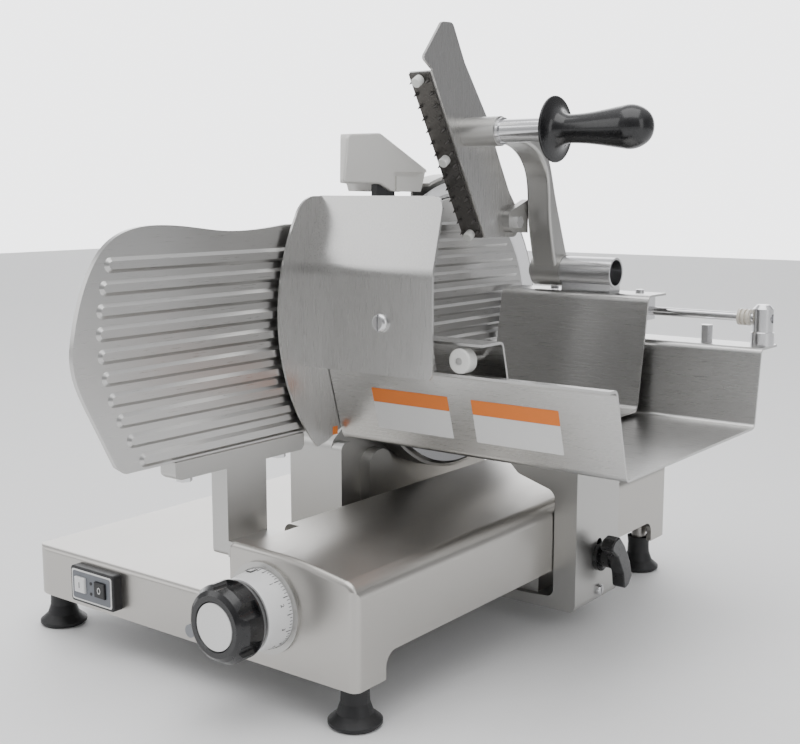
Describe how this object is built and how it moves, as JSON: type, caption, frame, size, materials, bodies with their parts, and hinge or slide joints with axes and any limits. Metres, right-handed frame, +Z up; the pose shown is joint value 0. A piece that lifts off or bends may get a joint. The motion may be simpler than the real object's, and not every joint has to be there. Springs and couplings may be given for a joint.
{
  "type": "deli meat slicer",
  "caption": "Vertical deli meat slicer: round blade in a ring guard, ribbed thickness gauge with dial knob, sliding carriage with nested trays, hand guard and spiked product press.",
  "frame": {"origin": "middle of the whole machine's box, on the counter", "axes": "+X to the operator's right, +Y away from the operator along the carriage stroke, +Z up"},
  "size_m": [0.629, 0.7798, 0.6493],
  "materials": {
    "cast_aluminium": "satin",
    "polished_aluminium": "polished",
    "stainless_sheet": "brushed",
    "blade_steel": "mirror ground",
    "bright_steel": "bright",
    "bronze": "plain",
    "light_casting": "satin",
    "dark_metal": "satin",
    "black_gloss_plastic": "gloss",
    "black_plastic": "satin",
    "white_plastic": "satin",
    "white_nylon": "satin",
    "black_rubber": "matt",
    "grey_plastic": "satin",
    "abrasive": "rough"
  },
  "bodies": {
    "base": {"base_casting": "cast_aluminium", "rubber_feet": "black_rubber", "bottom_cover": "stainless_sheet", "carriage_guide_rod": "bright_steel", "roller_rail": "bright_steel", "switch_box": "black_plastic", "cable_gland": "black_plastic", "front_plug": "grey_plastic", "pedestal": "cast_aluminium", "hub_bearings": "bright_steel", "drive_housing": "cast_aluminium", "motor_housing": "dark_metal", "drive_belt": "black_rubber", "cover_tie_rod": "bright_steel", "blade_cover": "polished_aluminium", "blade_ring": "cast_aluminium", "gauge_rods": "bright_steel", "dial_bezel": "polished_aluminium", "sharpener_bracket": "dark_metal"},
    "cutting_blade": {"blade": "blade_steel", "blade_hub": "bright_steel", "blade_screws": "bright_steel", "blade_pulley": "polished_aluminium"},
    "motor_rotor": {"motor_shaft": "bright_steel", "motor_pulley": "polished_aluminium"},
    "thickness_gauge": {"gauge_plate": "polished_aluminium", "gauge_bracket": "cast_aluminium", "gauge_bolts": "bright_steel"},
    "gauge_knob": {"thickness_knob": "black_gloss_plastic", "dial_ring": "white_plastic", "cam_shaft": "bright_steel"},
    "start_key": {"start_button": "white_plastic"},
    "stop_key": {"stop_button": "black_plastic"},
    "sharpener": {"sharpener_head": "light_casting"},
    "stone": {"grinding_stone": "abrasive"},
    "carriage": {"carriage_arm": "cast_aluminium", "carriage_bushes": "bronze", "carriage_screws": "bright_steel", "outer_tray": "stainless_sheet", "hand_guard": "stainless_sheet", "tray_rod": "bright_steel", "rod_posts": "bright_steel", "rod_bumper": "white_nylon"},
    "guide_roller": {"carriage_roller": "bright_steel"},
    "lock_knob": {"wing_knob": "black_gloss_plastic"},
    "product_tray": {"inner_tray": "stainless_sheet", "rod_sliders": "bright_steel", "tray_screws": "bright_steel", "pivot_tube": "stainless_sheet"},
    "front_roller": {"tray_roller": "white_nylon"},
    "product_press": {"press_arm": "cast_aluminium", "pivot_pin": "bright_steel", "press_plate": "stainless_sheet", "spike_strip": "dark_metal", "press_bumpers": "white_nylon", "handle_shaft": "bright_steel", "handle_grip": "black_gloss_plastic", "press_bolt": "bright_steel"}
  },
  "joints": [
    {"name": "carriage_slide", "type": "slide", "parent": "base", "child": "carriage", "axis": [0, 1, 0], "range_m": [-0.255, 0.105]},
    {"name": "guide_roller_spin", "type": "hinge", "parent": "carriage", "child": "guide_roller", "pos_m": [0.019, 0.14042, 0.0487], "axis": [1, 0, 0], "range_deg": [-1340, 560]},
    {"name": "product_tray_slide", "type": "slide", "parent": "carriage", "child": "product_tray", "axis": [1, 0, 0], "range_m": [0, 0.095]},
    {"name": "front_roller_spin", "type": "hinge", "parent": "product_tray", "child": "front_roller", "pos_m": [0.1575, -0.08988, 0.3168], "axis": [0, 1, 0], "range_deg": [-5, 460]},
    {"name": "press_swing", "type": "hinge", "parent": "product_tray", "child": "product_press", "pos_m": [0.0665, 0.26092, 0.3775], "axis": [1, 0, 0], "range_deg": [0, 70]},
    {"name": "lock_knob_turn", "type": "hinge", "parent": "carriage", "child": "lock_knob", "pos_m": [0.1905, 0.14442, 0.076], "axis": [1, 0, 0], "range_deg": [0, 270]},
    {"name": "gauge_slide", "type": "slide", "parent": "base", "child": "thickness_gauge", "axis": [-1, 0, 0], "range_m": [0, 0.014]},
    {"name": "gauge_knob_turn", "type": "hinge", "parent": "base", "child": "gauge_knob", "pos_m": [0.0455, -0.27108, 0.098], "axis": [0, -1, 0], "range_deg": [-1, 271]},
    {"name": "blade_spin", "type": "hinge", "parent": "base", "child": "cutting_blade", "pos_m": [-0.0385, 0.16292, 0.319], "axis": [1, 0, 0], "continuous": true},
    {"name": "motor_spin", "type": "hinge", "parent": "base", "child": "motor_rotor", "pos_m": [-0.1325, 0.25096, 0.40703], "axis": [1, 0, 0], "continuous": true},
    {"name": "start_press", "type": "slide", "parent": "base", "child": "start_key", "axis": [0, 1, 0], "range_m": [0, 0.003], "stiffness_N_per_m": 300, "springref_m": -0.001},
    {"name": "stop_press", "type": "slide", "parent": "base", "child": "stop_key", "axis": [0, 1, 0], "range_m": [0, 0.003], "stiffness_N_per_m": 300, "springref_m": -0.001},
    {"name": "sharpener_lift", "type": "slide", "parent": "base", "child": "sharpener", "axis": [0, 0, 1], "range_m": [0, 0.03]},
    {"name": "stone_spin", "type": "hinge", "parent": "sharpener", "child": "stone", "pos_m": [-0.0425, 0.08092, 0.486], "axis": [1, 0, 0], "continuous": true}
  ],
  "couplings": [
    {"joint": "gauge_knob_turn", "follows": "gauge_slide", "rad_per_m": 336.6},
    {"joint": "guide_roller_spin", "follows": "carriage_slide", "rad_per_m": 90.909},
    {"joint": "front_roller_spin", "follows": "product_tray_slide", "rad_per_m": 83.333},
    {"joint": "motor_spin", "follows": "blade_spin", "ratio": 5.2}
  ]
}
